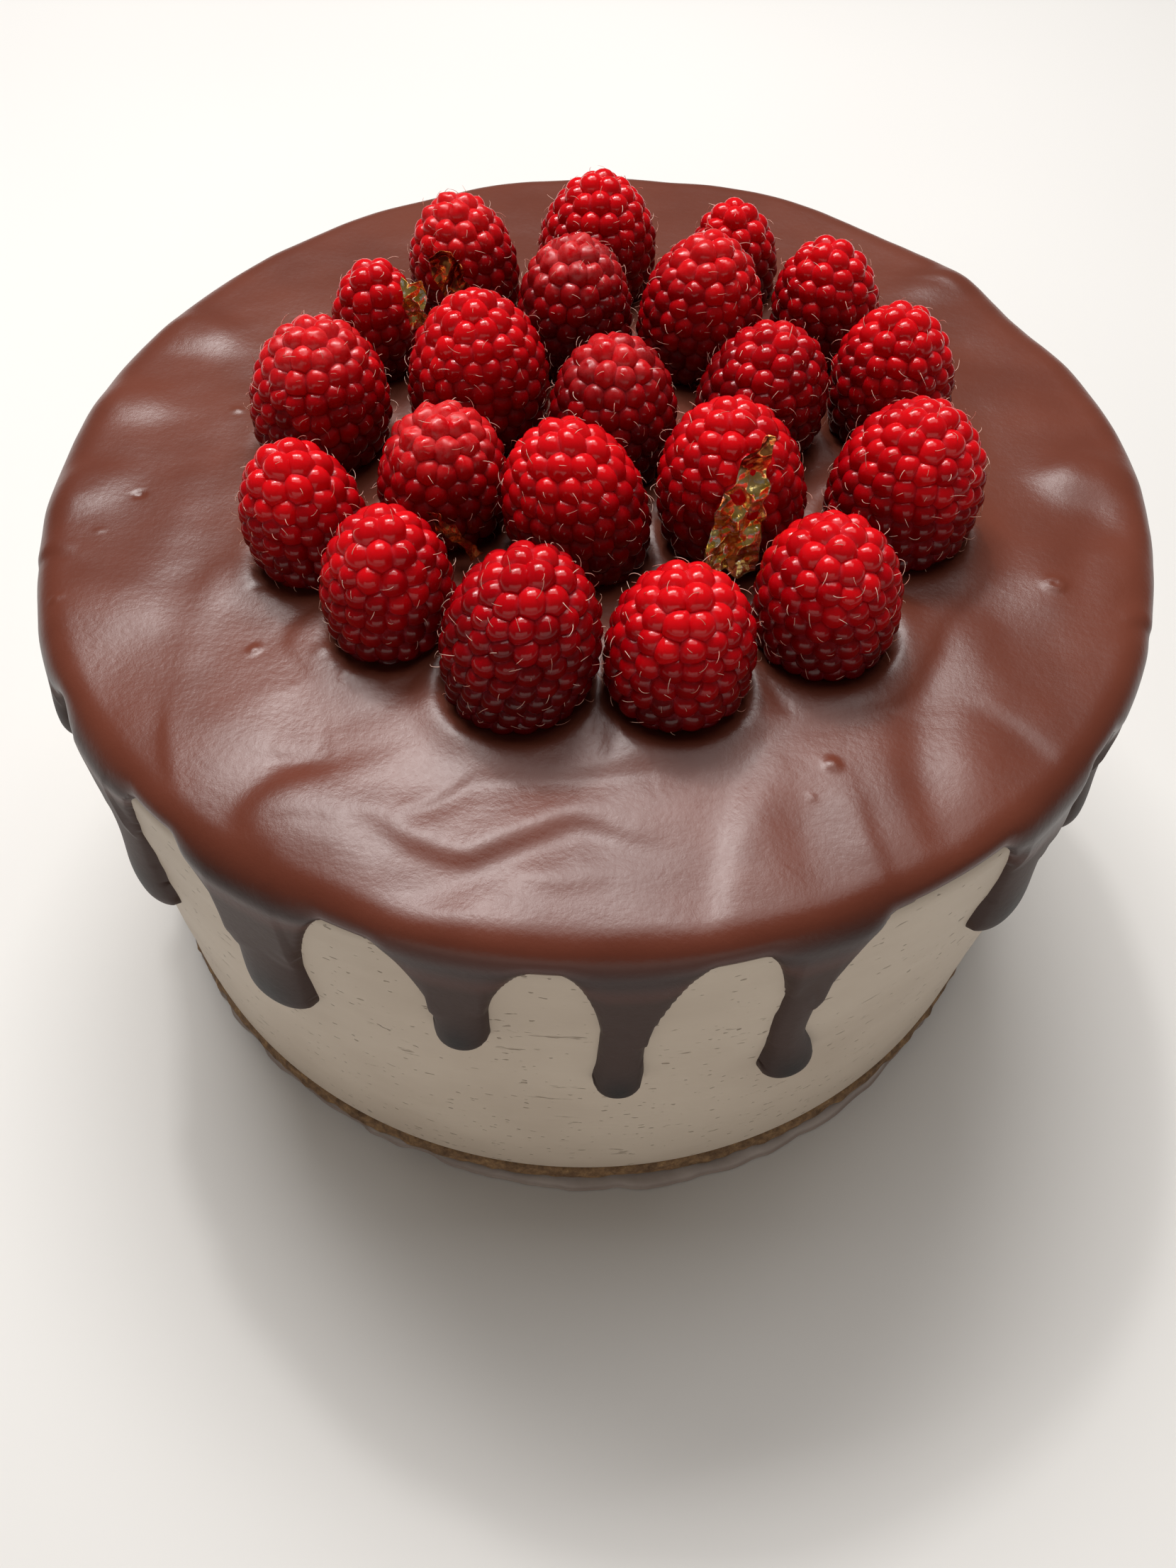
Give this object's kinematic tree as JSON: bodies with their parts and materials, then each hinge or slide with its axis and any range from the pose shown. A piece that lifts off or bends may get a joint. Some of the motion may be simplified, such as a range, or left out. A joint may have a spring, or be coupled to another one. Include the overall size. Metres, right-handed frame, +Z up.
{
  "type": "birds milk cake",
  "caption": "Round mousse cake with a poured milk chocolate glaze that drips down its side, topped with raspberries and scraps of gold leaf.",
  "frame": {"origin": "middle of the flat underside, on the surface that the cake stands on", "axes": "+Z up, -Y towards the front of the cake, +X to its right as seen from the front"},
  "size_m": [0.162, 0.1648, 0.1027],
  "materials": {
    "cream": "smeared pale cream, satin",
    "base": "brown baked layer, rough",
    "mousse": "smooth pale mousse with fine pits, satin",
    "glaze": "milk chocolate glaze, soft sheen",
    "raspberry": "ripe fruit, glossy with a faint bloom",
    "gold_leaf": "crinkled bright gold leaf"
  },
  "bodies": {
    "root": {"cream_bed": "cream", "base_layer": "base", "mousse": "mousse", "chocolate_glaze": "glaze", "raspberry_01": "raspberry", "raspberry_02": "raspberry", "raspberry_03": "raspberry", "raspberry_04": "raspberry", "raspberry_05": "raspberry", "raspberry_06": "raspberry", "raspberry_07": "raspberry", "raspberry_08": "raspberry", "raspberry_09": "raspberry", "raspberry_10": "raspberry", "raspberry_11": "raspberry", "raspberry_12": "raspberry", "raspberry_13": "raspberry", "raspberry_14": "raspberry", "raspberry_15": "raspberry", "raspberry_16": "raspberry", "raspberry_17": "raspberry", "raspberry_18": "raspberry", "raspberry_19": "raspberry", "raspberry_20": "raspberry", "raspberry_21": "raspberry", "gold_leaf_1": "gold_leaf", "gold_leaf_2": "gold_leaf", "gold_leaf_3": "gold_leaf", "gold_leaf_4": "gold_leaf"}
  },
  "joints": []
}
